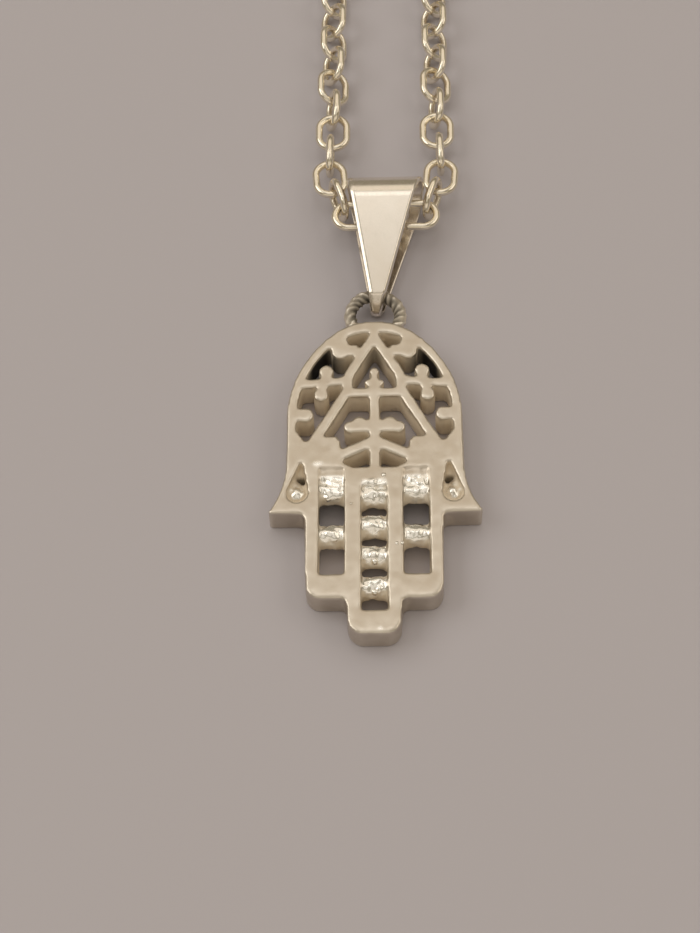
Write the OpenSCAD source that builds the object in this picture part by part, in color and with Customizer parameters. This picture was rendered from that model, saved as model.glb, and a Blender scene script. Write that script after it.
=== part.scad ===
// A cast silver hamsa pendant on its bail and cable chain, lying face up.
// +Z is up, +Y runs from the fingers to the bail. The origin is on the hand's
// back, on its centre line, in the band between the pierced dome and the fingers.

/* [Hand] */
// Thickness of the casting
hand_t = 2.3; // [1.6:0.1:3.5]
// Width of the palm
palm_w = 12.8; // [12.2:0.1:14]
// Height of the dome above the palm band
dome_h = 13.4; // [12.4:0.1:15]
// How much larger the radius of the dome's sides is than their rise
dome_spare = 1.3; // [1:0.1:1.7]
// Height at which the dome's sides begin to curve in
dome_spring = 5; // [4.4:0.1:5.6]
// How far each thumb tip reaches past the palm
thumb_reach = 1.2; // [0.8:0.1:2]
// How far the thumb tips lie below the palm band
thumb_drop = 2.75; // [2.3:0.05:3.2]
// Width of the three fingers together
fingers_w = 10.1; // [9.7:0.1:10.4]
// How far the two outer fingers reach below the palm band
fingers_drop = 9.65; // [9.1:0.05:11]
// How far the fingers and their slots lie left of the palm's centre line
fingers_left = 0.1; // [0:0.02:0.2]
// Width of the middle finger's tip
tip_w = 4; // [3.2:0.1:4.6]
// How far the middle finger reaches below the palm band
tip_drop = 12.35; // [11.8:0.05:14]
// Radius of the finger tips' corners
tip_corner = 1.1; // [0.6:0.1:1.4]
// Radius in the corners between the fingers and the thumbs
inner_corner = 0.4; // [0.2:0.05:0.6]

/* [Pierced dome] */
// Width of the rim at the dome's sides
rim_w = 0.72; // [0.5:0.02:0.9]
// Width of the rim at the dome's crown
crown_w = 1; // [0.8:0.05:1.3]
// Width of the two slanting legs
leg_w = 0.8; // [0.6:0.05:1]
// Width of the upright post
post_w = 0.8; // [0.6:0.05:1]
// Width of the bars between the legs and out to the rim
bar_w = 0.75; // [0.5:0.05:0.9]
// Width of the two low arms that leave the post
arm_w = 0.9; // [0.7:0.05:1]
// Diameter of the round buds on the bars and the rim
bud_d = 1.12; // [0.9:0.02:1.3]
// Diameter of the lobes that hang from the crown
crown_lobe_d = 1.4; // [1.2:0.05:1.6]

/* [Finger slots] */
// Width of each slot
slot_w = 1.82; // [1.6:0.02:2]
// Distance from the middle slot's centre to an outer slot's
slot_pitch = 3; // [2.9:0.05:3.1]
// Where the outer slots end, below the palm band
side_slot_drop = 7.72; // [7.4:0.02:8.2]
// Where the middle slot ends, below the palm band
mid_slot_drop = 10.5; // [10.1:0.1:11]
// Diameter of the beads' barrels
bead_d = 1.64; // [1.3:0.02:1.7]
// How far each bead's middle stands above its ends
bead_rise = 0.24; // [0.1:0.02:0.36]
// Height of the beads' centres above the back, at their middles
bead_z = 1.38; // [1.28:0.02:1.5]
// Depth of the tears in the thumbs
sunk = 0.8; // [0.4:0.05:1.2]
// Depth of the fields above the outer slots
field_sunk = 0.35; // [0.2:0.05:0.6]

/* [Ring] */
// Mean radius of the ring on the dome
ring_r = 1.9; // [1.8:0.02:2.1]
// Thickness of the ring's wire
ring_wire = 0.88; // [0.8:0.02:1]
// How far the ring's centre stands above the dome's crown
ring_rise = 1.12; // [0.8:0.02:1.3]

/* [Bail] */
// Thickness of the bail's strip
strip_t = 0.38; // [0.3:0.01:0.42]
// Width of the bail at its fold
bail_top_w = 6; // [5:0.1:6.7]
// Width of the bail's tongue at its lowest end
bail_tip_w = 0.76; // [0.6:0.02:1]
// Distance from the ring's wire to the fold's centre
bail_len = 7.52; // [7.2:0.02:8]
// Inner radius of the fold that the chain runs through
fold_r = 1.92; // [1.86:0.02:2.1]
// Room between the bail and the middle of the ring's wire
ring_gap = 0.22; // [0.2:0.01:0.3]
// Lean of the bail to the right, in degrees
bail_lean = 3; // [0:0.1:5]
// Skew of the bail's back towards the right, in degrees
bail_skew = 2.5; // [0:0.5:4]

/* [Chain] */
// Thickness of a link's wire
wire_d = 0.58; // [0.5:0.01:0.6]
// Outside width of a link
link_w = 2.8; // [2.7:0.01:2.9]
// Distance from link to link
link_pitch = 2.4; // [2.35:0.01:2.45]
// Least gap between two links' wires
link_gap = 0.12; // [0.1:0.01:0.14]
// Links from the bail to the clasp on each side that follow the open loop, an odd number
loop_links = 81; // [77:2:95]
// Radius of the loop that goes round the neck
neck_r = 45; // [40:1:50]
// Radius of the bends that lead into that loop
lead_r = 60; // [50:1:70]

/* [Clasp] */
// Distance between the centres of the clasp's two eyes
clasp_l = 9; // [8:0.5:12]
// Thickness of the clasp's barrel
clasp_d = 3; // [2.5:0.1:4]
// Mean radius of an eye
eye_r = 1.25; // [1.1:0.05:1.6]
// Thickness of an eye's wire
eye_wire = 0.7; // [0.6:0.05:0.9]

/* [Hidden] */
$fn = 32;
half_palm = palm_w / 2;
mid_z = hand_t / 2;
through = 1;

// Places in the pierced dome are shares of the palm's half width and the dome's height
function at(across, up) = [across * half_palm, up * dome_h];
function arc(centre, r, from, to, steps = 12) =
    [for (i = [0:steps]) let (a = from + (to - from) * i / steps) centre + r * [cos(a), sin(a)]];

dome_side_r = dome_h - dome_spring + dome_spare;

// Right half of an arch: side arcs of side_r that run into a smaller crown arc
function arch(half, height, side_r) =
    let (shift = side_r - half,
         spare = side_r - (height - dome_spring),
         rise = (shift * shift - spare * spare) / (2 * spare),
         crown_r = height - dome_spring - rise,
         turn = atan2(rise, shift))
    concat(arc([-shift, dome_spring], side_r, 0, turn), arc([0, dome_spring + rise], crown_r, turn, 90));

// A polygon's right half and its mirror image, as one loop
function mirrored(half) = concat(half, [for (i = [len(half) - 1:-1:0]) [-half[i][0], half[i][1]]]);

module both_sides() {
    children();
    mirror([1, 0]) children();
}

module stroke(a, b, w) {
    run = b - a;
    translate(a) rotate(atan2(run[1], run[0])) translate([0, -w / 2]) square([norm(run), w]);
}

module spot(centre, d) {
    translate(centre) circle(d = d);
}

module arch_2d(half, height, side_r) {
    both_sides() polygon(concat([[0, 0], [half, 0]], arch(half, height, side_r)));
}

module rounded(r) {
    offset(r = r) offset(delta = -r) children();
}

// The thumb's flare is an arc that leaves the palm's side and ends in the thumb's tip
flare_top = 1.2;
flare_h = flare_top + thumb_drop;
flare_r = (thumb_reach * thumb_reach + flare_h * flare_h) / (2 * thumb_reach);
thumb_foot = thumb_drop + 0.25;
module thumbs_2d() {
    both_sides() polygon(concat([[0, flare_top]],
        arc([half_palm + flare_r, flare_top], flare_r, 180, 180 + asin(flare_h / flare_r)),
        [[half_palm + thumb_reach - 0.12, -thumb_drop - 0.15], [fingers_w / 2 - 1, -thumb_foot],
         [0, -thumb_foot]]));
}

finger_taper = 0.25;
tip_taper = 0.2;
module fingers_2d() {
    rounded(tip_corner) both_sides() polygon([[0, flare_top], [fingers_w / 2, flare_top],
        [fingers_w / 2 - finger_taper, -fingers_drop], [0, -fingers_drop]]);
    rounded(tip_corner) both_sides() polygon([[0, 0], [tip_w / 2, 0], [tip_w / 2, -fingers_drop],
        [tip_w / 2 - tip_taper, -tip_drop], [0, -tip_drop]]);
}

module outline_2d() {
    offset(r = -inner_corner) offset(delta = inner_corner) {
        arch_2d(half_palm, dome_h, dome_side_r);
        thumbs_2d();
        translate([-fingers_left, 0]) fingers_2d();
    }
}

// The palm's upper edge, under the legs and the low arms, from the centre line out to the rim
palm_edge = [at(0, 0.06), at(0.235, 0.061), at(0.375, 0.098), at(0.383, 0.172), at(0.394, 0.227),
    at(0.438, 0.255), at(0.688, 0.246), at(0.79, 0.224), at(0.9, 0.302), at(1.1, 0.302)];
module palm_2d() {
    both_sides() polygon(concat(palm_edge, [at(1.1, -0.1), at(0, -0.1)]));
}

module legs_2d() {
    apex = at(0, 0.896);
    knee = at(0.292, 0.65);
    hip = at(0.312, 0.545);
    foot = at(0.7, 0.215);
    both_sides() {
        stroke(apex, knee, leg_w);
        stroke(knee, hip, leg_w);
        stroke(hip, foot, leg_w);
        for (joint = [apex, knee, hip]) spot(joint, leg_w);
    }
}

module bars_2d() {
    bar = at(0.32, 0.531);
    stroke([-bar[0], bar[1]], bar, bar_w);
    translate([-post_w / 2, 0]) square([post_w, bar[1]]);
    both_sides() {
        stroke(at(0.3, 0.612), at(0.95, 0.583), bar_w);
        stroke(at(0, 0.228), at(0.42, 0.127), arm_w);
    }
}

// A bud on the cross bar, buds up and down from the side bars, lobes from the rim and the
// crown, and a pair of leaves on the post
module buds_2d() {
    stroke(at(0, 0.54), at(0, 0.67), bud_d * 0.55);
    spot(at(0, 0.668), bud_d * 0.66);
    both_sides() {
        spot(at(0.066, 0.595), bud_d * 0.54);
        stroke(at(0.56, 0.6), at(0.552, 0.672), bud_d * 0.75);
        spot(at(0.552, 0.672), bud_d);
        stroke(at(0.59, 0.6), at(0.609, 0.52), bud_d * 0.7);
        spot(at(0.609, 0.52), bud_d);
        stroke(at(0.78, 0.392), at(0.95, 0.392), bud_d * 0.96);
        spot(at(0.785, 0.392), bud_d * 1.06);
        stroke(at(0.19, 0.807), at(0.39, 0.807), crown_lobe_d * 0.68);
        spot(at(0.39, 0.803), crown_lobe_d);
        stroke(at(0.37, 0.82), at(0.42, 0.88), crown_lobe_d * 0.9);
        stroke(at(0, 0.314), at(0.273, 0.311), bud_d * 0.82);
        spot(at(0.172, 0.332), bud_d * 1.1);
        spot(at(0.273, 0.312), bud_d * 0.9);
    }
}

module dome_windows_2d() {
    difference() {
        arch_2d(half_palm - rim_w, dome_h - crown_w, dome_side_r - rim_w);
        palm_2d();
        legs_2d();
        bars_2d();
        buds_2d();
    }
}

mid_slot_top = 0.7;
side_slot_top = 0.9;
module slots_2d() {
    translate([-slot_w / 2, -mid_slot_drop]) square([slot_w, mid_slot_drop - mid_slot_top]);
    for (side = [-1, 1])
        translate([side * slot_pitch - slot_w / 2, -side_slot_drop])
            square([slot_w, side_slot_drop - side_slot_top]);
}

pit = [0.83 * half_palm, 0.1];
pit_d = 0.7;
thumb_bead_d = 1.24;
thumb_bead = [0.875 * half_palm, -1.1];
window_corner = 0.1;
module plate() {
    linear_extrude(height = hand_t) difference() {
        outline_2d();
        rounded(window_corner) dome_windows_2d();
        translate([-fingers_left, 0]) slots_2d();
        both_sides() spot(pit, pit_d);
    }
}

// The sunk fields: one above each outer slot, and a tear-shaped one in each thumb
module sunk_fields() {
    field_top = 0.76;
    tear_d = 1.5;
    translate([-fingers_left, 0, hand_t - field_sunk])
        linear_extrude(height = field_sunk + through) both_sides()
            translate([slot_pitch - slot_w / 2, -side_slot_top - 0.5])
                square([slot_w, side_slot_top + 0.5 + field_top]);
    translate([0, 0, hand_t - sunk]) linear_extrude(height = sunk + through) both_sides() {
        spot(thumb_bead - [0.03, 0.15], tear_d);
        polygon([[thumb_bead[0] - tear_d / 2 - 0.03, thumb_bead[1]],
            [thumb_bead[0] + 0.62, thumb_bead[1] + 0.2], [pit[0] + 0.08, 1.25], [pit[0] - 0.1, 1.2]]);
    }
}

// A bead is a short barrel across its slot, bowed so that its middle stands highest
bead_half = slot_w / 2 + 0.1;
bead_bow_r = (bead_half * bead_half + bead_rise * bead_rise) / (2 * bead_rise);
bead_turn = asin(bead_half / bead_bow_r);
module bead(place) {
    translate([place[0], place[1], bead_z - bead_bow_r]) rotate([90, 0, 0])
        rotate([0, 0, 90 - bead_turn]) rotate_extrude(angle = 2 * bead_turn)
            translate([bead_bow_r, 0]) circle(d = bead_d);
}

mid_beads = 4;
mid_bead_pitch = 2.41;
mid_bead_first = 1.27;
side_bead_pitch = 3.48;
side_bead_first = 0.91;
module beads() {
    translate([-fingers_left, 0]) {
        for (i = [0:mid_beads - 1]) bead([0, -mid_bead_first - i * mid_bead_pitch]);
        for (side = [-1, 1], i = [0:1]) bead([side * slot_pitch, -side_bead_first - i * side_bead_pitch]);
    }
    for (side = [-1, 1])
        translate([side * thumb_bead[0], thumb_bead[1], hand_t - sunk]) sphere(d = thumb_bead_d);
}

ring_x = 0.1;
ring_y = dome_h + ring_rise;
floor_gap = 0.03;
ring_z = max(mid_z, floor_gap + strip_t + 0.1 + ring_wire / 2);
module ring() {
    translate([ring_x, ring_y, ring_z])
        rotate_extrude() translate([ring_r, 0]) circle(d = ring_wire);
}

module hamsa_hand() {
    color("#c9bfae") {
        difference() {
            plate();
            sunk_fields();
        }
        beads();
        ring();
    }
}

// The bail is a closed loop of strip: a wide fold for the chain, a corner above the ring's
// wire, and a steep tongue from there to a narrow foot. Each is a circle of the strip's outer
// face, as [along, height, radius], with the ring's wire at along 0.
bail_foot = [ring_x + 0.37, ring_y + ring_r];
ring_room = ring_wire / 2 + ring_gap;
foot_r = 0.72;
corner_r = 0.55;
fold_out = fold_r + strip_t;
bail_turns = [[-ring_room - 0.12, foot_r + floor_gap, foot_r],
    [bail_len, fold_out + floor_gap, fold_out],
    [-0.2, ring_z + ring_room + 0.06, corner_r]];
turn_steps = [14, 28, 8];

// Direction in which the straight stretch from circle a to circle b faces
function faces(a, b) =
    atan2(b[1] - a[1], b[0] - a[0]) - acos((a[2] - b[2]) / norm([b[0] - a[0], b[1] - a[1]]));

// Outline of the loop at a depth inset under the strip's outer face
function loop_2d(inset) =
    [for (i = [0:2])
        let (here = bail_turns[i],
             from = faces(bail_turns[(i + 2) % 3], here),
             to = faces(here, bail_turns[(i + 1) % 3]),
             sweep = to < from ? to + 360 : to)
        each arc([here[0], here[1]], here[2] - inset, from, sweep, turn_steps[i])];

module bail_strip() {
    rotate([90, 0, 90]) linear_extrude(height = bail_top_w + 2 * through, center = true) difference() {
        polygon(loop_2d(0));
        polygon(loop_2d(strip_t));
    }
}

// The strip's two edges are cut along planes that lean to the right and slant, so that the
// strip's front lies to the left of its back. They turn about the ring's wire.
module bail_taper() {
    low = bail_turns[0][0] - foot_r;
    high = bail_len + fold_out;
    widen = (bail_top_w - bail_tip_w) / 2 / (high - low);
    half = [[bail_tip_w / 2 - widen, low - 1], [bail_top_w / 2 + widen, high + 1]];
    translate([0, 0, ring_z]) rotate([0, -bail_skew, -bail_lean])
        linear_extrude(height = 3 * fold_out, center = true) polygon(mirrored(half));
}

module bail() {
    color("#dcd8d0") translate(bail_foot) intersection() {
        bail_strip();
        bail_taper();
    }
}

// Links: two half rings joined by two straight stretches, in a plane of their own
link_half_w = (link_w - wire_d) / 2;
link_l = link_pitch + 2 * wire_d + link_gap;
link_half_s = (link_l - link_w) / 2;
wire_sides = 6;

module half_ring() {
    rotate_extrude(angle = 180, $fn = 24) translate([link_half_w, 0]) circle(d = wire_d, $fn = wire_sides);
}

// A link lies along X; its flat plane turns about X by roll
module link(roll) {
    rotate([roll, 0, 0]) {
        translate([link_half_s, 0, 0]) rotate(-90) half_ring();
        translate([-link_half_s, 0, 0]) rotate(90) half_ring();
        for (side = [-1, 1])
            translate([0, side * link_half_w, 0]) rotate([90, 0, 90])
                linear_extrude(height = 2 * link_half_s, center = true) circle(d = wire_d, $fn = wire_sides);
    }
}

// The chain's centre line lies a little to the right of the hand's, under the leaning bail
chain_x = 0.97;
first_link = [0, 23.4, 2.03];

// The first links beside the bail on one side, chosen by hand:
// [out from the chain's centre line, along, height, heading, roll, slope]
near_links = [
    [2.39, 23.40, 1.97, 0, 0, -2],
    [3.66, 25.10, 1.77, 71, 82, 0],
    [4.33, 27.35, 1.56, 85, 0, -2],
    [4.34, 29.74, 1.46, 92, 90, 0],
    [4.14, 32.10, 1.40, 90, 0, 0],
];
last_near = near_links[len(near_links) - 1];
loop_start = [last_near[0], last_near[1] + link_pitch / 2];

// From there each side runs straight, bends outward and goes round to the clasp
eye_reach = clasp_l / 2 + eye_r;
link_hook = (wire_d + link_gap) / 2;
loop_end_x = eye_reach - eye_wire / 2 - wire_d / 2 - link_gap + link_hook;
loop_turn = acos((loop_start[0] + lead_r - loop_end_x) / (lead_r + neck_r));
lead_l = lead_r * loop_turn * PI / 180;
neck_l = neck_r * (loop_turn + 90) * PI / 180;
straight_l = loop_links * link_pitch - lead_l - neck_l;
function heading(s) =
    s < straight_l ? 90
    : s < straight_l + lead_l ? 90 - (s - straight_l) / lead_l * loop_turn
    : 90 - loop_turn + (s - straight_l - lead_l) / neck_l * (loop_turn + 90);
function link_step(i) =
    let (a = heading((i + 0.5) * link_pitch)) link_pitch * [cos(a), sin(a)];
loop_points = [for (i = 0, p = loop_start; i <= loop_links; p = p + link_step(i), i = i + 1) p];

// Links lie leaning in turn to either side, but upright or flat by the bail and the clasp
function twist(i) = min(45, 9 * (i + 2), 5 * (loop_links - 1 - i));
function loop_roll(i) = (i % 2 == 0 ? 0 : 90) + 90 + twist(i);
function loop_z(i) = wire_d / 2 + link_half_w * cos(twist(i));

module placed_link(side, out, along, height, heading, roll, slope) {
    translate([chain_x + side * out, along, height])
        rotate([0, -slope, side > 0 ? heading : 180 - heading]) link(roll);
}

module chain() {
    color("#d8d5cd") {
        placed_link(1, first_link[0], first_link[1], first_link[2], 0, 90, 0);
        for (side = [-1, 1]) {
            for (l = near_links) placed_link(side, l[0], l[1], l[2], l[3], side * l[4], l[5]);
            for (i = [0:loop_links - 1]) {
                mid = (loop_points[i] + loop_points[i + 1]) / 2;
                placed_link(side, mid[0], mid[1], loop_z(i), heading((i + 0.5) * link_pitch),
                    loop_roll(i), 0);
            }
        }
    }
}

// The clasp is one plain barrel with an eye at each end for the chain's last links
clasp_y = loop_points[loop_links][1];
clasp_z = loop_z(loop_links - 1);
module clasp() {
    barrel_l = clasp_l - 2 * (eye_r - eye_wire / 4);
    color("#d8d5cd") translate([chain_x, clasp_y, clasp_z]) {
        translate([0, 0, clasp_d / 2 - clasp_z]) rotate([0, 90, 0])
            cylinder(d = clasp_d, h = barrel_l, center = true);
        for (side = [-1, 1])
            translate([side * clasp_l / 2, 0, 0]) rotate_extrude() translate([eye_r, 0]) circle(d = eye_wire);
    }
}

hamsa_hand();
bail();
chain();
clasp();
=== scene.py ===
"""A cast silver hamsa pendant on its bail and cable chain, lying on a pale table."""

import math

import bmesh
import bpy
import numpy as np
from mathutils import Matrix, Vector, noise
from mathutils.bvhtree import BVHTree


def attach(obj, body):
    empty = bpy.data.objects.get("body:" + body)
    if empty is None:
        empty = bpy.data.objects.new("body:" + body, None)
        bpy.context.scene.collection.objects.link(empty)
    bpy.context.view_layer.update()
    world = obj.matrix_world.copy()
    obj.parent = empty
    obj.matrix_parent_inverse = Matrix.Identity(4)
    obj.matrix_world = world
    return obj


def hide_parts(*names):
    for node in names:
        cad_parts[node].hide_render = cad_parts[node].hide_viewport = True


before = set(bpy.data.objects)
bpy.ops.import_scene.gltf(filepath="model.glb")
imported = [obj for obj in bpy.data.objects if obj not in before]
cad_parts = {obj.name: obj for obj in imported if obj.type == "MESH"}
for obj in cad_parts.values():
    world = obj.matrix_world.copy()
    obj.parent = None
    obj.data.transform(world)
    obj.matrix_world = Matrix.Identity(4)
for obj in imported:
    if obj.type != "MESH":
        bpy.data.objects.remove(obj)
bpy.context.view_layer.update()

MM = 0.001
BODY = "root"
FULL_TURN = 2 * math.pi

# The object's sizes as in part.scad. This and every other length in this script is in millimetres
HAND_T = 2.3
RING_CENTRE = (0.1, 14.52, 1.15)
RING_R = 1.9
RING_WIRE = 0.88
# The fingers' middle line lies this far to the left of the hand's
FINGERS_LEFT = 0.1
SLOT_W = 1.82
SLOT_PITCH = 3
# A bead in a slot is a barrel: its radius, how much lower its two ends are, and its axis's height
BEAD_R = 0.82
BEAD_RISE = 0.24
BEAD_Z = 1.38
MID_BEAD_Y, MID_BEAD_STEP = -1.27, 2.41
SIDE_BEAD_Y, SIDE_BEAD_STEP = -0.91, 3.48
THUMB_BEAD_X, THUMB_BEAD_Y = 5.6, -1.1
MID_BEADS = [(-FINGERS_LEFT, MID_BEAD_Y - MID_BEAD_STEP * i) for i in range(4)]
SIDE_BEADS = [(side * SLOT_PITCH - FINGERS_LEFT, SIDE_BEAD_Y - SIDE_BEAD_STEP * i)
              for side in (-1, 1) for i in range(2)]
THUMB_BEADS = [(side * THUMB_BEAD_X, THUMB_BEAD_Y) for side in (-1, 1)]
# The chain's wire, and the outer width, outer length and pitch of its links
WIRE = 0.58
LINK_W = 2.8
LINK_L = 3.68
LINK_PITCH = 2.4
CHAIN_X = 0.97


# Meshes

def put(name, data):
    """Puts an object with this mesh, lamp or camera in the scene."""
    made = bpy.data.objects.new(name, data)
    bpy.context.collection.objects.link(made)
    return made


def mesh_object(name, verts, faces):
    """A mesh object from vertices in millimetres."""
    mesh = bpy.data.meshes.new(name)
    mesh.from_pydata([Vector(v) * MM for v in verts], [], faces)
    mesh.validate()
    return put(name, mesh)


def mend(mesh, merge=0, outwards=False):
    """Joins points that are closer than merge, or turns the faces outwards, or does both."""
    work = bmesh.new()
    work.from_mesh(mesh)
    if merge:
        bmesh.ops.remove_doubles(work, verts=work.verts, dist=merge * MM)
    if outwards:
        bmesh.ops.recalc_face_normals(work, faces=work.faces)
    work.to_mesh(mesh)
    work.free()


def settle(made):
    """Turns an object with modifiers into a plain mesh at the origin."""
    graph = bpy.context.evaluated_depsgraph_get()
    mesh = bpy.data.meshes.new_from_object(made.evaluated_get(graph))
    mesh.transform(made.matrix_world)
    old = made.data
    made.modifiers.clear()
    made.data = mesh
    made.matrix_world = Matrix.Identity(4)
    bpy.data.meshes.remove(old)
    return made


def join(name, objects):
    """One mesh object from several, which are used up."""
    joined = bmesh.new()
    for part in objects:
        joined.from_mesh(part.data)
    mesh = bpy.data.meshes.new(name)
    joined.to_mesh(mesh)
    joined.free()
    for part in objects:
        bpy.data.objects.remove(part)
    return put(name, mesh)


def smooth(made):
    """Shades an object's faces smooth."""
    made.data.shade_smooth()
    return made


def wire_ring(name, centre, ring_r, wire_r, around, across):
    """A closed ring of wire. The wire's radius, wire_r, depends on two angles: the swing round the
    ring and the roll round the wire."""
    verts, faces = [], []
    for i in range(around):
        here, following = i * across, (i + 1) % around * across
        for j in range(across):
            swing, roll = FULL_TURN * i / around, FULL_TURN * j / across
            r = wire_r(swing, roll)
            out = ring_r + r * math.cos(roll)
            verts.append((centre[0] + out * math.cos(swing), centre[1] + out * math.sin(swing),
                          centre[2] + r * math.sin(roll)))
            k = (j + 1) % across
            faces.append((here + j, following + j, following + k, here + k))
    return mesh_object(name, verts, faces)


def dress(made, material, slot, *nodes):
    """Gives a piece its metal and puts it in the place of its CAD nodes."""
    made.data.materials.clear()
    made.data.materials.append(material)
    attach(made, BODY)
    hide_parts(*nodes)


# Materials

# The sockets of a Mix node: its two inputs and its output, for colours and for numbers
COLOUR_A, COLOUR_B, COLOUR_OUT = 6, 7, 2
NUMBER_A, NUMBER_B, NUMBER_OUT = 2, 3, 0
# Most of a noise texture's values lie between these two
NOISE_LOW, NOISE_HIGH = 0.3, 0.7


def shade(hex_colour):
    """An sRGB hex colour as linear RGBA."""
    parts = [int(hex_colour[i:i + 2], 16) / 255 for i in (1, 3, 5)]
    return (*[c / 12.92 if c <= 0.04045 else ((c + 0.055) / 1.055) ** 2.4 for c in parts], 1)


def add(tree, kind, links=None, **settings):
    """Adds a node, sets its properties, and fills its inputs with values or with links."""
    node = tree.nodes.new(kind)
    for name, value in settings.items():
        setattr(node, name, value)
    for key, value in (links or {}).items():
        if isinstance(value, bpy.types.NodeSocket):
            tree.links.new(value, node.inputs[key])
        else:
            node.inputs[key].default_value = value
    return node


def per_mm(size):
    """Texture scale whose features are size millimetres across, on Object coordinates."""
    return 1 / (size * MM)


def new_metal(name):
    """A material with a bare metallic shader: its tree, shader, and position in metres."""
    material = bpy.data.materials.new(name)
    material.use_nodes = True
    tree = material.node_tree
    shader = tree.nodes["Principled BSDF"]
    shader.inputs["Metallic"].default_value = 1
    place = add(tree, "ShaderNodeTexCoord").outputs["Object"]
    return material, tree, shader, place


def buff(tree, shader, film, tones, grain, gloss, bump):
    """Finishes a bright metal: film moves its colour between two tones, grain its roughness
    between the two values of gloss, and a Bump node raises it."""
    colour = add(tree, "ShaderNodeMix", {"Factor": film, COLOUR_A: shade(tones[0]),
                                         COLOUR_B: shade(tones[1])}, data_type="RGBA")
    rough = add(tree, "ShaderNodeMapRange", {"Value": grain, "From Min": NOISE_LOW,
                                             "From Max": NOISE_HIGH, "To Min": gloss[0],
                                             "To Max": gloss[1]})
    tree.links.new(colour.outputs[COLOUR_OUT], shader.inputs["Base Color"])
    tree.links.new(rough.outputs[0], shader.inputs["Roughness"])
    tree.links.new(bump.outputs[0], shader.inputs["Normal"])


def cast_silver():
    """Cast sterling silver: satin faces worn bright on their edges, which is also a painted
    highlight, hammered bright beads, a matt brown-grey cast skin that stays in the openings where
    polishing doesn't reach, and black that is patina on the ring and painted shade in the openings."""
    material, tree, shader, place = new_metal("cast_sterling_silver")
    hollow, worn_and_highlight, polish, patina_and_shade = (
        add(tree, "ShaderNodeAttribute", attribute_name=name).outputs["Fac"]
        for name in ("hollow", "worn_and_highlight", "polish", "patina_and_shade"))
    clouds, grit, lumps = (
        add(tree, "ShaderNodeTexNoise",
            {"Vector": place, "Scale": per_mm(size), "Detail": detail}).outputs["Fac"]
        for size, detail in ((1.8, 3), (0.3, 2), (0.5, 1)))

    # The cast skin ends in a ragged border, where the polishing ran out
    ragged = add(tree, "ShaderNodeMath", {0: grit, 1: 0.4, 2: hollow}, operation="MULTIPLY_ADD")
    skin = add(tree, "ShaderNodeMapRange",
               {"Value": ragged.outputs[0], "From Min": 0.42, "From Max": 0.95},
               interpolation_type="SMOOTHSTEP").outputs[0]

    # Clouded satin, and over it rubbed edges that are also a painted highlight, bright beads, cast
    # skin, and black that is patina on the ring and painted shade in the openings
    colour = shade("#BDB09F")
    for cover, tone in ((clouds, "#DBD3C7"), (worn_and_highlight, "#F5EFE4"), (polish, "#FDFBF6"),
                        (skin, "#E8DDCB"), (patina_and_shade, "#120E0B")):
        colour = add(tree, "ShaderNodeMix", {"Factor": cover, COLOUR_A: colour,
                                             COLOUR_B: shade(tone)},
                     data_type="RGBA").outputs[COLOUR_OUT]
    metallic = add(tree, "ShaderNodeMix", {"Factor": skin, NUMBER_A: 1.0, NUMBER_B: 0.15},
                   data_type="FLOAT").outputs[NUMBER_OUT]
    rough = add(tree, "ShaderNodeMapRange", {"Value": grit, "From Min": NOISE_LOW,
                                             "From Max": NOISE_HIGH, "To Min": 0.28,
                                             "To Max": 0.36}).outputs[0]
    for cover, level in ((polish, 0.23), (skin, 0.65)):
        rough = add(tree, "ShaderNodeMix", {"Factor": cover, NUMBER_A: rough, NUMBER_B: level},
                    data_type="FLOAT").outputs[NUMBER_OUT]

    # Pits in the satin, and larger dents where the beads were struck
    pits = add(tree, "ShaderNodeMath", {0: clouds, 1: 2.2, 2: grit}, operation="MULTIPLY_ADD")
    dents = add(tree, "ShaderNodeMath", {0: lumps, 1: 4.0}, operation="MULTIPLY")
    relief = add(tree, "ShaderNodeMix", {"Factor": polish, NUMBER_A: pits.outputs[0],
                                         NUMBER_B: dents.outputs[0]}, data_type="FLOAT")
    bump = add(tree, "ShaderNodeBump", {"Height": relief.outputs[NUMBER_OUT], "Strength": 0.2,
                                        "Distance": 0.03 * MM})
    for socket, source in (("Base Color", colour), ("Metallic", metallic), ("Roughness", rough),
                           ("Normal", bump.outputs[0])):
        tree.links.new(source, shader.inputs[socket])
    return material


def polished_strip():
    """Rolled silver strip, buffed along its length: bright, with hair lines and faint waves."""
    material, tree, shader, place = new_metal("polished_silver_strip")
    # The hair lines are noise that is drawn out along the strip
    along = add(tree, "ShaderNodeMapping", {"Vector": place, "Scale": (1, 0.08, 1)})
    hairs = add(tree, "ShaderNodeTexNoise", {"Vector": along.outputs[0], "Scale": per_mm(0.12),
                                             "Detail": 2}).outputs["Fac"]
    waves = add(tree, "ShaderNodeTexNoise", {"Vector": place, "Scale": per_mm(2.2),
                                             "Detail": 2}).outputs["Fac"]
    relief = add(tree, "ShaderNodeMath", {0: waves, 1: 2.5, 2: hairs}, operation="MULTIPLY_ADD")
    bump = add(tree, "ShaderNodeBump", {"Height": relief.outputs[0], "Strength": 0.2,
                                        "Distance": 0.01 * MM})
    buff(tree, shader, waves, ("#EDE4D8", "#F5EFE7"), hairs, (0.17, 0.26), bump)
    return material


def bright_wire():
    """Drawn and polished silver wire: nearly a mirror, with a warm film of wear."""
    material, tree, shader, place = new_metal("bright_silver_wire")
    film = add(tree, "ShaderNodeTexNoise", {"Vector": place, "Scale": per_mm(0.9),
                                            "Detail": 3}).outputs["Fac"]
    bump = add(tree, "ShaderNodeBump", {"Height": film, "Strength": 0.25, "Distance": 0.03 * MM})
    buff(tree, shader, film, ("#ECE1CC", "#FAF4E8"), film, (0.14, 0.26), bump)
    return material


# The cast hand

# The mesh is rebuilt from voxels, and its corners are then evened out in rounds
VOXEL = 0.115
SOFTEN_ROUNDS = 7
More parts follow.
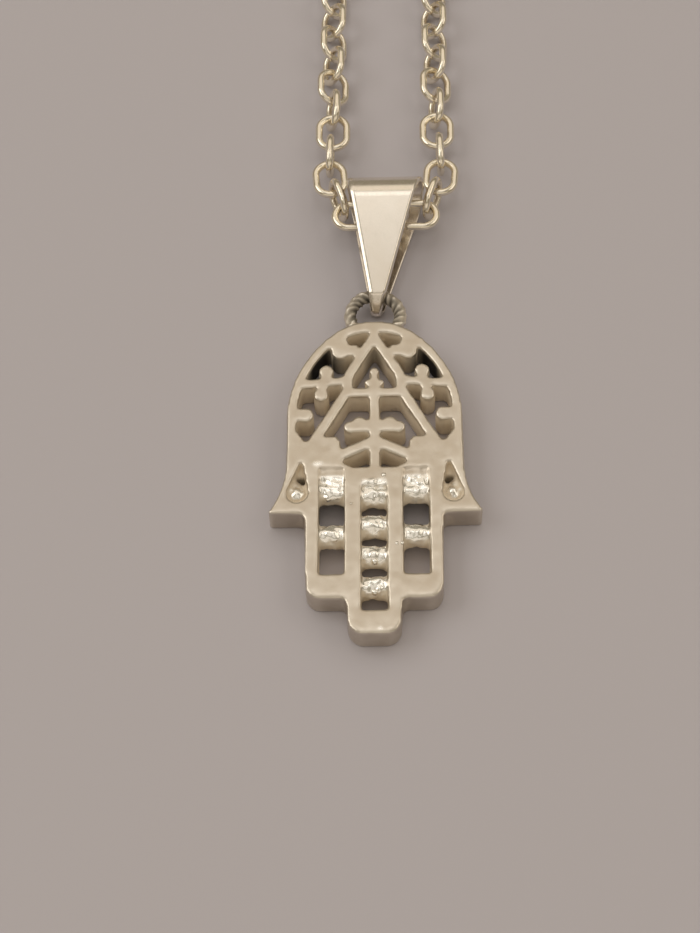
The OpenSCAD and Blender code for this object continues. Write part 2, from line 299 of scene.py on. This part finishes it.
# Tumbling rounds the face off, in rounds, from this height and fully at this much more
PILLOW_ROUNDS = 8
PILLOW_FROM, PILLOW_OVER = 1, 0.8
# The flat back has no waves. They grow to their full height over this much
WAVES_OVER = 0.5
# Slight waves of the casting and hammer blows on the beads: frequency per mm, shift and height.
# The blows end softly at a bead's border, in rounds
WAVES = ((0.55, (0, 0, 0), 0.04), (1.4, (0, 0, 0), 0.02))
BLOWS = ((1.9, (3, 1, 7), 0.11), (3.7, (0, 0, 0), 0.05))
BLOW_ROUNDS = 3
# A bead's part of the casting: half its width and length, its lowest point, and a thumb bead's radius
BEAD_HALF_W, BEAD_HALF_L = SLOT_W / 2 - 0.06, 1.05
BEAD_LOW = 0.7
THUMB_BEAD_R = 0.6

# A drop on each lower bead: how far to the right of its middle, how far down, and its size
BEAD_DROP = (0.04, 0.54, 0.5)
# Points on the face: x, y and size
FACE_DROPS = ((1.5, -5.42, 0.32), (1.88, -5.4, 0.32), (-1.7, -2.2, 0.2), (0.62, 0.1, 0.4))

# The ring's cast twist: its ridges' pitch along the wire, their height over a core, how far they
# slant and how they sway
RIDGE_PITCH = 0.6
RIDGE_H = 0.15
RIDGE_CORE = RING_WIRE / 2 - 0.03
RIDGE_SLANT = 3
RIDGE_SWAY, SWAYS = 0.9, 5
# How much of a ridge is left, and how much that changes with noise over patches of the ring
RIDGE_LEFT, RIDGE_WEAR = 0.55, 0.7
WEAR_ALONG, WEAR_ROUND = 3, 2
RIDGE_STEPS, RIDGE_SIDES = 10, 24

# The look into the room from each point: rays, how far they reach, how wide they fan out, the
# angle between two of them, and how far over the surface they start
RAYS = 14
SHADE_REACH = 3.2
RAY_FAN = 0.85
RAY_TURN = 2.4
RAY_LIFT = 0.03

# The ring's part of the casting: from this far below its middle, and this far outside its radius
RING_BELOW, RING_BEYOND = 0.8, 0.7
# How much gaps and the ring count as hollow, and how sharp an inner corner or a rubbed edge is.
# A rubbed edge is lightened both as wear and as a painted highlight
GAP_GAIN, RING_HOLLOW = 1.25, 0.6
CORNER_DEPTH, EDGE_DEPTH = 0.15, 0.07
CURVE_ROUNDS = 8
# Points this far over the face are on a bright drop
DROP_RISE = 0.03
# The ring's patina and painted shade: patina all over it and in its grooves, painted shade on its
# inner side, and at most. A groove starts this far over the wire and is full this much deeper
RING_STAIN, GROOVE_STAIN, INNER_SHADE, MOST_PATINA_AND_SHADE = 0.18, 0.5, 0.45, 0.9
GROOVE_TOP, GROOVE_OVER = 0.05, 0.07
# Painted shade, black on the openings' walls, in the slots under the beads and in the thumbs' pits:
# x, y, reach, strength, top and the point they face
SHADE_PATCHES = (
    (-4.2, 10.1, 2.4, 1, 2.1, (0, 5)),
    (4.35, 10.2, 2.2, 1, 2.1, (0, 5)),
    (0, 10.6, 1.3, 0.4, 1.9, (0, 5)),
    (-5.31, 0.1, 0.5, 0.8, 1.9, (0, 5)),
    (5.31, 0.1, 0.5, 0.8, 1.9, (0, 5)),
    (-3.1, -2.4, 2.1, 1, 1.1, None),
    (2.9, -2.4, 2.1, 1, 1.1, None),
)
# A patch of painted shade falls from this at its middle to 0 at its reach, and is black where that
# is over 1
SHADE_FADE = 1.6


def merged_copy(name, node):
    """A copy of a CAD node's mesh with its loose triangles joined up."""
    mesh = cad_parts[node].data.copy()
    mend(mesh, merge=0.0005)
    return put(name, mesh)


def grain(centre, size, stretch=(1, 1, 1)):
    """A small round drop of metal."""
    work = bmesh.new()
    bmesh.ops.create_icosphere(work, subdivisions=2, radius=size / 2 * MM)
    bmesh.ops.scale(work, vec=stretch, verts=work.verts)
    bmesh.ops.translate(work, vec=Vector(centre) * MM, verts=work.verts)
    mesh = bpy.data.meshes.new("grain")
    work.to_mesh(mesh)
    work.free()
    return put("grain", mesh)


def soft_lumps():
    """Lumps that fill the fields above the outer slots and part of the tears, melted in. Each has
    its place, counted from the bead near it, its size and its stretch."""
    lumps = []
    for x, y in SIDE_BEADS[::2]:
        lumps.append(grain((x, y + 1.15, 1.9), 1, (2.2, 1.7, 0.7)))
        lumps.append(grain((x + 0.35, y + 0.5, 2.0), 0.8, (1, 1, 0.7)))
    for x, y in THUMB_BEADS:
        lumps.append(grain((x, y - 0.1, 1.5), 1, (1.5, 1.4, 0.7)))
        lumps.append(grain((x * 1.02, y + 0.75, 1.5), 1, (0.9, 0.9, 0.6)))
    return lumps


def small_drops():
    """The drops on the two lower middle beads, a quarter sunk, and the flat points on the face."""
    drops = []
    across, down, size = BEAD_DROP
    for x, y in MID_BEADS[2:]:
        barrel = math.sqrt(BEAD_R ** 2 - down ** 2) - BEAD_RISE * (across / SLOT_W * 2) ** 2
        drops.append(grain((x + across, y - down, BEAD_Z + (barrel - size / 4)), size))
    for x, y, size in FACE_DROPS:
        drops.append(grain((x, y, HAND_T - size / 6), size, (1, 1, 0.7)))
    return drops


def roped_ring():
    """The ring's wire with the slanting ridges of a cast twist, worn more in some places."""
    turns = round(FULL_TURN * RING_R / RIDGE_PITCH)

    def wire_r(swing, roll):
        sway = RIDGE_SWAY * math.sin(SWAYS * swing)
        ridge = 0.5 + 0.5 * math.cos(turns * swing + RIDGE_SLANT * roll + sway)
        spot = Vector((WEAR_ALONG * math.cos(swing), WEAR_ALONG * math.sin(swing),
                       WEAR_ROUND * math.cos(roll)))
        left = RIDGE_LEFT + RIDGE_WEAR * noise.noise(spot)
        return RIDGE_CORE + RIDGE_H * ridge * left

    return wire_ring("ring_ridges", RING_CENTRE, RING_R, wire_r, turns * RIDGE_STEPS, RIDGE_SIDES)


def read_points(mesh):
    """Places in millimetres and normals of a mesh's points, as two arrays."""
    count = len(mesh.vertices)
    place, normal = np.empty(count * 3), np.empty(count * 3)
    mesh.vertices.foreach_get("co", place)
    mesh.vertices.foreach_get("normal", normal)
    return place.reshape(-1, 3) / MM, normal.reshape(-1, 3)


def spreader(mesh):
    """A function that evens out a value per point over the mesh, in rounds."""
    count = len(mesh.vertices)
    ends = np.empty(len(mesh.edges) * 2, int)
    mesh.edges.foreach_get("vertices", ends)
    ends = ends.reshape(-1, 2)
    degree = np.maximum(np.bincount(ends.ravel(), minlength=count), 1)

    def spread(values, rounds):
        for _ in range(rounds):
            total = (np.bincount(ends[:, 0], values[ends[:, 1]], count)
                     + np.bincount(ends[:, 1], values[ends[:, 0]], count))
            values = (values + total / degree) / 2
        return values

    return spread


def bead_share(x, y, z):
    """1 for each point that is on a bead, and 0 elsewhere."""
    on_bead = np.zeros(len(x))
    for bead_x, bead_y in MID_BEADS + SIDE_BEADS:
        inside = (abs(x - bead_x) < BEAD_HALF_W) & (abs(y - bead_y) < BEAD_HALF_L)
        on_bead[inside & (z > BEAD_LOW)] = 1
    for bead_x, bead_y in THUMB_BEADS:
        on_bead[np.hypot(x - bead_x, y - bead_y) < THUMB_BEAD_R] = 1
    return on_bead


def uneven(spot, rows):
    """The height at a spot of noise in rows of frequency, shift and height."""
    return sum(noise.noise(spot * often + Vector(shift)) * height for often, shift, height in rows)


def tumbled(mesh):
    """Rounds the face off towards its edges, gives it slight waves and the beads their hammered
    facets, but keeps the flat back."""
    place, normal = read_points(mesh)
    spread = spreader(mesh)
    height = place[:, 2]
    upper = np.clip((height - PILLOW_FROM) / PILLOW_OVER, 0, 1)
    lowered = height + (spread(height, PILLOW_ROUNDS) - height) * upper
    hammered = spread(bead_share(*place.T), BLOW_ROUNDS)
    for point, out, z, hard, vertex in zip(place, normal, lowered, hammered, mesh.vertices):
        spot = Vector(point)
        wave = uneven(spot, WAVES) + uneven(spot, BLOWS) * hard
        shift = out * wave * min(1, max(0, point[2] / WAVES_OVER))
        vertex.co = Vector((point[0] + shift[0], point[1] + shift[1], z + shift[2])) * MM


def shaded(mesh):
    """How much of the room each point doesn't see: 0 in the open, 1 deep inside a gap."""
    work = bmesh.new()
    work.from_mesh(mesh)
    tree = BVHTree.FromBMesh(work)
    work.free()
    place, normal = read_points(mesh)
    rays = []
    for i in range(RAYS):
        up = 1 - (i + 0.5) / RAYS * RAY_FAN
        side = math.sqrt(1 - up * up)
        rays.append(Vector((side * math.cos(RAY_TURN * i), side * math.sin(RAY_TURN * i), up)))
    hidden = np.zeros(len(place))
    for n, (point, out) in enumerate(zip(place, normal)):
        turn = Vector(out).to_track_quat("Z", "Y")
        start = Vector(point + out * RAY_LIFT) * MM
        for ray in rays:
            if tree.ray_cast(start, turn @ ray, SHADE_REACH * MM)[0] is not None:
                hidden[n] += ray.z
    return hidden / sum(ray.z for ray in rays)


def mark_wear_and_shade(made):
    """Writes the casting's masks: one for the cast skin in gaps, one for rubbed edges that are also
    lightened as a painted highlight, one for the bright beads, and one for black that is patina on
    the ring and painted shade on its inner side and in the openings."""
    mesh = made.data
    place, normal = read_points(mesh)
    x, y, z = place.T
    spread = spreader(mesh)
    # How far its neighbours pull a point outwards: over 0 in a corner, under 0 on an edge
    pulled = sum((spread(place[:, k], CURVE_ROUNDS) - place[:, k]) * normal[:, k] for k in range(3))
    from_middle = np.hypot(x - RING_CENTRE[0], y - RING_CENTRE[1])
    on_ring = (y > RING_CENTRE[1] - RING_BELOW) & (from_middle < RING_R + RING_BEYOND)
    gaps = shaded(mesh) * GAP_GAIN
    hollow = np.clip(gaps + pulled / CORNER_DEPTH + RING_HOLLOW * on_ring, 0, 1)
    # Rubbed edges, lightened both as wear and as a painted highlight
    worn_and_highlight = np.clip(-pulled / EDGE_DEPTH, 0, 1)
    polish = np.maximum(bead_share(x, y, z), z > HAND_T + DROP_RISE)

    # The ring's patina, all over it and in its grooves, and painted shade on its inner side
    to_middle = (RING_CENTRE[0] - x) * normal[:, 0] + (RING_CENTRE[1] - y) * normal[:, 1]
    from_wire = np.hypot(from_middle - RING_R, z - RING_CENTRE[2])
    groove = np.clip((RING_WIRE / 2 + GROOVE_TOP - from_wire) / GROOVE_OVER, 0, 1)
    ring_patina_and_shade = RING_STAIN + GROOVE_STAIN * groove + INNER_SHADE * to_middle / RING_R
    patina_and_shade = on_ring * np.clip(ring_patina_and_shade, 0, MOST_PATINA_AND_SHADE)
    # Painted shade: black patches on the openings' walls, in the slots and in the pits
    for shade_x, shade_y, reach, strength, top, seen in SHADE_PATCHES:
        away = np.hypot(x - shade_x, y - shade_y)
        near = np.clip(SHADE_FADE - SHADE_FADE * away / reach, 0, 1)
        facing = (seen is None
                  or (seen[0] - x) * normal[:, 0] + (seen[1] - y) * normal[:, 1] > 0)
        patina_and_shade = np.maximum(patina_and_shade, strength * near * (z < top) * facing)

    for name, values, rounds in (("hollow", hollow, 2), ("worn_and_highlight", worn_and_highlight, 1),
                                 ("polish", polish, 2), ("patina_and_shade", patina_and_shade, 2)):
        layer = mesh.attributes.new(name, "FLOAT", "POINT")
        layer.data.foreach_set("value", spread(values, rounds).astype(np.float32))


def cast_hand():
    """The hand with its softened casting, its ring's ridges and its drops, and its masks."""
    hand = join("hand_with_lumps", [merged_copy("cast_hand", "hamsa_hand"), *soft_lumps()])
    remesh = hand.modifiers.new("skin", "REMESH")
    remesh.mode = "VOXEL"
    remesh.voxel_size = VOXEL * MM
    soften = hand.modifiers.new("soften", "SMOOTH")
    soften.factor = 0.5
    soften.iterations = SOFTEN_ROUNDS
    settle(hand)
    tumbled(hand.data)
    hand = join("hand_casting", [hand, roped_ring(), *small_drops()])
    mark_wear_and_shade(hand)
    return smooth(hand)


# The bail

# The strip's thickness, the fold's outer radius, and how far the bail is over the table
STRIP_T = 0.38
FOLD_OUT = 1.92 + STRIP_T
FLOOR_GAP = 0.03
# From the ring's wire to the fold's middle, and how wide the strip is at its two ends
BAIL_LEN = 7.52
BAIL_TOP_W = 6
BAIL_TIP_W = 0.76
# It leans to the right and is turned a little about its length
BAIL_LEAN = math.radians(3)
BAIL_SKEW = math.radians(2.5)
# Where it goes round the ring's wire, the room for the wire, and the outer radius of its foot
BAIL_FOOT = (RING_CENTRE[0] + 0.37, RING_CENTRE[1] + RING_R)
RING_ROOM = RING_WIRE / 2 + 0.22
FOOT_R = 0.72
# The foot, the fold and the corner over the ring's wire: (along, height, outer radius, steps)
BAIL_TURNS = ((-RING_ROOM - 0.12, FOOT_R + FLOOR_GAP, FOOT_R, 24),
              (BAIL_LEN, FOLD_OUT + FLOOR_GAP, FOLD_OUT, 56),
              (-0.2, RING_CENTRE[2] + RING_ROOM + 0.06, 0.55, 14))
# The sharp edges are rounded, where the faces turn by more than an angle
ROUND_EDGE = 0.05
ROUND_FROM = math.radians(50)
# The front's edges are buffed off: how far in, on the left and the right, and how deep
BUFFED = (0.3, 0.16)
BUFF_DEPTH = 0.11
# The flat front between them: steps across it, and how near its outer rows are to the buffed edges
FRONT_STEPS = 5
FRONT_HOLD = 0.05
# The lower tongue is bent to the left: how far, where it starts along the bail, and over how much
TONGUE_BEND = 0.28
BEND_FROM, BEND_OVER = 0.4, 1.6


def strip_outline(inset):
    """The bail's outline seen from its side at a depth under its outer face: (along, height)."""
    def facing(a, b):
        run = Vector((b[0] - a[0], b[1] - a[1]))
        return math.atan2(run.y, run.x) - math.acos((a[2] - b[2]) / run.length)

    outline = []
    for i, (along, height, r, steps) in enumerate(BAIL_TURNS):
        start = facing(BAIL_TURNS[i - 1], BAIL_TURNS[i])
        end = facing(BAIL_TURNS[i], BAIL_TURNS[(i + 1) % 3])
        end += FULL_TURN if end < start else 0
        for k in range(steps + 1):
            turn = start + (end - start) * k / steps
            outline.append(Vector((along + (r - inset) * math.cos(turn),
                                   height + (r - inset) * math.sin(turn))))
    return outline


def edge_at(along, height, side):
    """Where a slanting side cut of the bail meets a line across it: the line's x."""
    lean, skew = Matrix.Rotation(-BAIL_LEAN, 3, "Z"), Matrix.Rotation(-BAIL_SKEW, 3, "Y")
    back = (lean @ skew).transposed()
    low, high = BAIL_TURNS[0][0] - FOOT_R, BAIL_LEN + FOLD_OUT
    grow = (BAIL_TOP_W - BAIL_TIP_W) / 2 / (high - low)
    rest = back @ Vector((0, along, height - RING_CENTRE[2]))
    across = back @ Vector((1, 0, 0))
    # The cut is where the turned x is side * (half the tip's width + grow * turned distance)
    half_w = BAIL_TIP_W / 2 + grow * (rest.y - low)
    return (side * half_w - rest.x) / (across.x - side * grow * across.y)


def folded_bail():
    """The closed loop of strip, in rows across it: an outer skin, an inner one and the cut sides."""
    outer, buffed, inner = strip_outline(0), strip_outline(BUFF_DEPTH), strip_outline(STRIP_T)
    verts, faces = [], []
    for section, edge in ((outer, buffed), (inner, inner)):
        for (along, height), (rim_along, rim_height) in zip(section, edge):
            left, right = edge_at(along, height, -1), edge_at(along, height, 1)
            bend = TONGUE_BEND * min(1, max(0, (BEND_FROM - along) / BEND_OVER))
            low, high = left + BUFFED[0], right - BUFFED[1]
            front = [low + FRONT_HOLD + (high - low - 2 * FRONT_HOLD) * k / FRONT_STEPS
                     for k in range(FRONT_STEPS + 1)]
            row = [(left, rim_along, rim_height), *((x, along, height) for x in (low, *front, high)),
                   (right, rim_along, rim_height)]
            verts += [(BAIL_FOOT[0] + x - bend, BAIL_FOOT[1] + y, z) for x, y, z in row]
    columns, count = len(row), len(outer)
    skin = count * columns
    for i in range(count):
        here, following = i * columns, (i + 1) % count * columns
        for k in range(columns - 1):
            a, b = here + k, following + k
            faces.append((a, a + 1, b + 1, b))
            faces.append((skin + a, skin + b, skin + b + 1, skin + a + 1))
        for k in (0, columns - 1):
            side = [here + k, following + k, skin + following + k, skin + here + k]
            faces.append(side if k == 0 else side[::-1])
    bail = mesh_object("folded_bail", verts, faces)
    mend(bail.data, outwards=True)
    rounding = bail.modifiers.new("round_edges", "BEVEL")
    rounding.width = ROUND_EDGE * MM
    rounding.segments = 3
    rounding.limit_method = "ANGLE"
    rounding.angle_limit = ROUND_FROM
    settle(bail)
    return smooth(bail)


# The chain: link places as in part.scad

# Links on each side of the open loop, and the radius of its round end and of the lead into it
LOOP_LINKS = 81
NECK_R = 45
LEAD_R = 60
# The play between two wires that hook into each other
LINK_GAP = 0.12
# The clasp from the middle of one eye to that of the other, its barrel, and the eyes' middle line
CLASP_L = 9
CLASP_D = 3
EYE_R = 1.25
EYE_WIRE = 0.7
FIRST_LINK = (0, 23.4, 2.03)
# Out from the chain's centre line, along, height, heading, roll, slope
NEAR_LINKS = (
    (2.39, 23.40, 1.97, 0, 0, -2),
    (3.66, 25.10, 1.77, 71, 82, 0),
    (4.33, 27.35, 1.56, 85, 0, -2),
    (4.34, 29.74, 1.46, 92, 90, 0),
    (4.14, 32.10, 1.40, 90, 0, 0),
)
# Each link leans over more than the one before it, up to the most, and less towards the clasp
TWIST_STEP, MOST_TWIST, UNTWIST_STEP = 9, 45, 5
# So many links of the loop on each side show in the photograph and have finer wire
FINE_LINKS = 12


def loop_route():
    """Places and headings of the links that follow the open loop, for the right side, and the
    loop's end."""
    hook = (WIRE + LINK_GAP) / 2
    end_x = CLASP_L / 2 + EYE_R - EYE_WIRE / 2 - WIRE / 2 - LINK_GAP + hook
    start = Vector((NEAR_LINKS[-1][0], NEAR_LINKS[-1][1] + LINK_PITCH / 2))
    turn = math.acos((start.x + LEAD_R - end_x) / (LEAD_R + NECK_R))
    lead = LEAD_R * turn
    neck = NECK_R * (turn + math.pi / 2)
    straight = LOOP_LINKS * LINK_PITCH - lead - neck

    def heading(s):
        """The loop runs straight, then leads outwards, and then rounds the neck."""
        if s < straight:
            return math.pi / 2
        if s < straight + lead:
            return math.pi / 2 - (s - straight) / lead * turn
        return math.pi / 2 - turn + (s - straight - lead) / neck * (turn + math.pi / 2)

    route, point = [], start
    for i in range(LOOP_LINKS):
        course = heading((i + 0.5) * LINK_PITCH)
        step = LINK_PITCH * Vector((math.cos(course), math.sin(course)))
        route.append((point + step / 2, math.degrees(course)))
        point = point + step
    return route, point


def link_places():
    """(x, y, z, turn, fine) of every link: turn is its roll, slope and heading in degrees."""
    half_w = (LINK_W - WIRE) / 2
    places = [(CHAIN_X + FIRST_LINK[0], FIRST_LINK[1], FIRST_LINK[2], (90, 0, 0), True)]
    route, _ = loop_route()
    for side in (1, -1):
        for out, along, height, heading, roll, slope in NEAR_LINKS:
            course = heading if side > 0 else 180 - heading
            places.append((CHAIN_X + side * out, along, height, (side * roll, -slope, course), True))
        for i, (point, heading) in enumerate(route):
            twist = min(MOST_TWIST, TWIST_STEP * (i + 2), UNTWIST_STEP * (LOOP_LINKS - 1 - i))
            roll = 90 * (i % 2 + 1) + twist
            height = WIRE / 2 + half_w * math.cos(math.radians(twist))
            course = heading if side > 0 else 180 - heading
            places.append((CHAIN_X + side * point.x, point.y, height, (roll, 0, course),
                           i < FINE_LINKS))
    return places


def chain_tree(metal):
    """Geometry nodes: a link swept round its own path, set on every point and turned."""
    tree = bpy.data.node_groups.new("cable_chain", "GeometryNodeTree")
    sockets = tree.interface
    sockets.new_socket("Geometry", in_out="INPUT", socket_type="NodeSocketGeometry")
    for name in ("Wire", "Link width", "Link length"):
        sockets.new_socket(name, in_out="INPUT", socket_type="NodeSocketFloat")
    for name in ("Fine steps", "Fine sides", "Plain steps", "Plain sides"):
        sockets.new_socket(name, in_out="INPUT", socket_type="NodeSocketInt")
    sockets.new_socket("Geometry", in_out="OUTPUT", socket_type="NodeSocketGeometry")
    given = add(tree, "NodeGroupInput").outputs

    # The path's radius at its round ends, and how far each end is moved out to make it long
    halves = []
    for whole, less in (("Link width", "Wire"), ("Link length", "Link width")):
        rest = add(tree, "ShaderNodeMath", {0: given[whole], 1: given[less]}, operation="SUBTRACT")
        half = add(tree, "ShaderNodeMath", {0: rest.outputs[0], 1: 0.5}, operation="MULTIPLY")
        halves.append(half.outputs[0])
    radius, stretch = halves
    half_wire = add(tree, "ShaderNodeMath", {0: given["Wire"], 1: 0.5}, operation="MULTIPLY")

    def link(steps, sides):
        path = add(tree, "GeometryNodeCurvePrimitiveCircle", {"Resolution": steps, "Radius": radius})
        where = add(tree, "GeometryNodeInputPosition")
        split = add(tree, "ShaderNodeSeparateXYZ", {0: where.outputs[0]})
        outward = add(tree, "ShaderNodeMath", {0: split.outputs["X"], 1: 0.0}, operation="SIGN")
        move = add(tree, "ShaderNodeMath", {0: outward.outputs[0], 1: stretch}, operation="MULTIPLY")
        shift = add(tree, "ShaderNodeCombineXYZ", {"X": move.outputs[0]})
        long_path = add(tree, "GeometryNodeSetPosition", {"Geometry": path.outputs["Curve"],
                                                          "Offset": shift.outputs[0]})
        section = add(tree, "GeometryNodeCurvePrimitiveCircle", {"Resolution": sides,
                                                                 "Radius": half_wire.outputs[0]})
        body = add(tree, "GeometryNodeCurveToMesh", {"Curve": long_path.outputs[0],
                                                     "Profile Curve": section.outputs["Curve"]})
        return add(tree, "GeometryNodeSetShadeSmooth", {"Geometry": body.outputs[0]}).outputs[0]

    turn = add(tree, "GeometryNodeInputNamedAttribute", {"Name": "turn"}, data_type="FLOAT_VECTOR")
    fine = add(tree, "GeometryNodeInputNamedAttribute", {"Name": "fine"}, data_type="BOOLEAN")
    spin = add(tree, "FunctionNodeEulerToRotation", {0: turn.outputs["Attribute"]})
    plain = add(tree, "FunctionNodeBooleanMath", {0: fine.outputs["Attribute"]}, operation="NOT")
    points = add(tree, "GeometryNodeMeshToPoints", {"Mesh": given["Geometry"]})
    both = add(tree, "GeometryNodeJoinGeometry")
    for kind, chosen in (("Fine", fine.outputs["Attribute"]), ("Plain", plain.outputs[0])):
        made = link(given[kind + " steps"], given[kind + " sides"])
        row = add(tree, "GeometryNodeInstanceOnPoints",
                  {"Points": points.outputs[0], "Selection": chosen, "Instance": made,
                   "Rotation": spin.outputs[0]})
        tree.links.new(row.outputs[0], both.inputs[0])
    real = add(tree, "GeometryNodeRealizeInstances", {"Geometry": both.outputs[0]})
    painted = add(tree, "GeometryNodeSetMaterial", {"Geometry": real.outputs[0], "Material": metal})
    add(tree, "NodeGroupOutput", {0: painted.outputs[0]})
    return tree


def cable_chain(metal):
    """All links of the loop, from a point for each that carries its turn."""
    places = link_places()
    chain = mesh_object("cable_chain", [p[:3] for p in places], [])
    turns = chain.data.attributes.new("turn", "FLOAT_VECTOR", "POINT")
    fine = chain.data.attributes.new("fine", "BOOLEAN", "POINT")
    for i, (_, _, _, turn, is_fine) in enumerate(places):
        turns.data[i].vector = [math.radians(a) for a in turn]
        fine.data[i].value = is_fine
    tree = chain_tree(metal)
    sizes = {"Wire": WIRE * MM, "Link width": LINK_W * MM, "Link length": LINK_L * MM,
             "Fine steps": 36, "Fine sides": 14, "Plain steps": 16, "Plain sides": 6}
    links = chain.modifiers.new("links", "NODES")
    links.node_group = tree
    for item in tree.interface.items_tree:
        if item.in_out == "INPUT" and item.name in sizes:
            links[item.identifier] = sizes[item.name]
    return settle(chain)


# The clasp

BARREL_R = CLASP_D / 2
GROOVE_R = BARREL_R - 0.1
# The barrel's stepped end: how far in from its flat end, and the radius there
BARREL_END = ((0, 0.001), (0, 0.5), (0.08, 0.62), (0.3, 0.66), (0.42, BARREL_R - 0.12),
              (0.56, BARREL_R), (1.2, BARREL_R), (1.28, GROOVE_R), (1.4, GROOVE_R),
              (1.48, BARREL_R))
# The groove round its middle: along from there, and the radius
BARREL_MIDDLE = ((-0.16, BARREL_R), (-0.08, GROOVE_R), (0.08, GROOVE_R), (0.16, BARREL_R))
BARREL_SIDES = 40
EYE_STEPS, EYE_SIDES = 48, 14


def barrel_clasp():
    """A turned barrel with stepped ends, and a closed eye at each end for the last links."""
    _, end = loop_route()
    eye_z = WIRE / 2 + (LINK_W - WIRE) / 2
    # The barrel's flat ends lie inside the eyes' wire
    half = CLASP_L / 2 - EYE_R + EYE_WIRE / 4
    left = [(-half + inset, r) for inset, r in BARREL_END]
    turned = [*left, *BARREL_MIDDLE, *((-x, r) for x, r in left[::-1])]
    verts, faces = [], []
    for i, (x, r) in enumerate(turned):
        for j in range(BARREL_SIDES):
            a = FULL_TURN * j / BARREL_SIDES
            verts.append((CHAIN_X + x, end.y + r * math.cos(a), BARREL_R + r * math.sin(a)))
            if i:
                here, before, k = i * BARREL_SIDES, (i - 1) * BARREL_SIDES, (j + 1) % BARREL_SIDES
                faces.append((before + j, before + k, here + k, here + j))
    parts = [mesh_object("barrel", verts, faces)]
    for side in (-1, 1):
        centre = (CHAIN_X + side * CLASP_L / 2, end.y, eye_z)
        parts.append(wire_ring("eye", centre, EYE_R, lambda swing, roll: EYE_WIRE / 2,
                               EYE_STEPS, EYE_SIDES))
    clasp = join("barrel_clasp", parts)
    mend(clasp.data, merge=0.002, outwards=True)
    return smooth(clasp)


# The stage

# The photograph's camera: how high it looks from, how far to the right it stands, and the
# point on the hand's face that it shows at this place of a 700 by 933 picture
PICTURE = (700, 933)
FOCAL_PIXELS = 2000
LOOK_UP = math.radians(60)
LOOK_SIDE = 0.03
SEEN_POINT = Vector((0, 0, HAND_T))
SEEN_AT = (375, 476)
PIXELS_PER_MM = 14
SENSOR = 36
CLIP_NEAR, CLIP_FAR = 10, 5000

# The floor is just under the object's flat back, so that the two faces don't flicker
FLOOR_REACH = 4000
FLOOR_Z = -0.02

# The room's large soft lights: place, size, power in watts and colour
LAMPS = (
    ("ceiling_panel", (-20, 220, 700), (420, 243), 0.34, "#FFFBF6"),
    ("near_ceiling", (0, -163, 700), (420, 523), 0.33, "#FFF8F0"),
    ("left_window", (-620, 120, 640), (700, 500), 1.8, "#FFFAF2"),
    ("right_wall", (620, 120, 640), (700, 500), 1.0, "#FFF4E6"),
    ("far_wall", (0, 640, 700), (1300, 420), 1.05, "#FFF2E2"),
    ("near_wall", (0, -650, 380), (1300, 400), 0.8, "#FFF4E8"),
)
AIR_COLOUR, AIR_STRENGTH = "#DDD0B6", 0.37


def photo_camera():
    """The camera at the photograph's place and with its field of view."""
    away = Vector((LOOK_SIDE * math.sin(LOOK_UP), -math.cos(LOOK_UP), math.sin(LOOK_UP))).normalized()
    up = (Vector((0, 1, 0)) - away * away.y).normalized()
    right = up.cross(away)
    reach = FOCAL_PIXELS / PIXELS_PER_MM
    across = (SEEN_AT[0] - PICTURE[0] / 2) / FOCAL_PIXELS
    rise = (PICTURE[1] / 2 - SEEN_AT[1]) / FOCAL_PIXELS
    place = SEEN_POINT - (right * across + up * rise - away) * reach
    lens = bpy.data.cameras.new("photo_camera")
    lens.sensor_width = SENSOR
    lens.lens = FOCAL_PIXELS / max(PICTURE) * SENSOR
    lens.clip_start, lens.clip_end = CLIP_NEAR * MM, CLIP_FAR * MM
    camera = put("photo_camera", lens)
    turn = Matrix((right, up, away)).transposed().to_4x4()
    camera.matrix_world = Matrix.Translation(place * MM) @ turn
    bpy.context.scene.camera = camera


def pale_floor():
    """A wide plain board under the object."""
    corners = [(x * FLOOR_REACH, y * FLOOR_REACH, FLOOR_Z)
               for x, y in ((-1, -1), (1, -1), (1, 1), (-1, 1))]
    floor = mesh_object("table_top", corners, [(0, 1, 2, 3)])
    material = bpy.data.materials.new("pale_matt_board")
    material.use_nodes = True
    board = material.node_tree.nodes["Principled BSDF"]
    board.inputs["Base Color"].default_value = shade("#C4C0C7")
    board.inputs["Roughness"].default_value = 0.75
    floor.data.materials.append(material)


def soft_light(name, place, size, power, colour):
    """An area light at a place in millimetres that looks at the pendant."""
    light = bpy.data.lights.new(name, "AREA")
    light.shape = "RECTANGLE"
    light.size, light.size_y = size[0] * MM, size[1] * MM
    light.energy = power
    light.color = shade(colour)[:3]
    lamp = put(name, light)
    spot = Vector(place) * MM
    lamp.location = spot
    lamp.visible_camera = False
    lamp.rotation_euler = (-spot).to_track_quat("-Z", "Y").to_euler()


def studio():
    """The room's even light, its lamps, and how its brightness is shown."""
    world = bpy.data.worlds.new("room")
    world.use_nodes = True
    bpy.context.scene.world = world
    air = world.node_tree.nodes["Background"]
    air.inputs["Color"].default_value = shade(AIR_COLOUR)
    air.inputs["Strength"].default_value = AIR_STRENGTH
    for lamp in LAMPS:
        soft_light(*lamp)
    # A photograph's plain contrast, without the softer shoulder of film
    bpy.context.scene.view_settings.view_transform = "Standard"


cast = cast_silver()
strip = polished_strip()
wire = bright_wire()
dress(cast_hand(), cast, "cast_silver", "hamsa_hand")
dress(folded_bail(), strip, "polished_silver", "bail")
dress(cable_chain(wire), wire, "chain_silver", "chain")
dress(barrel_clasp(), wire, "chain_silver", "clasp")
photo_camera()
pale_floor()
studio()
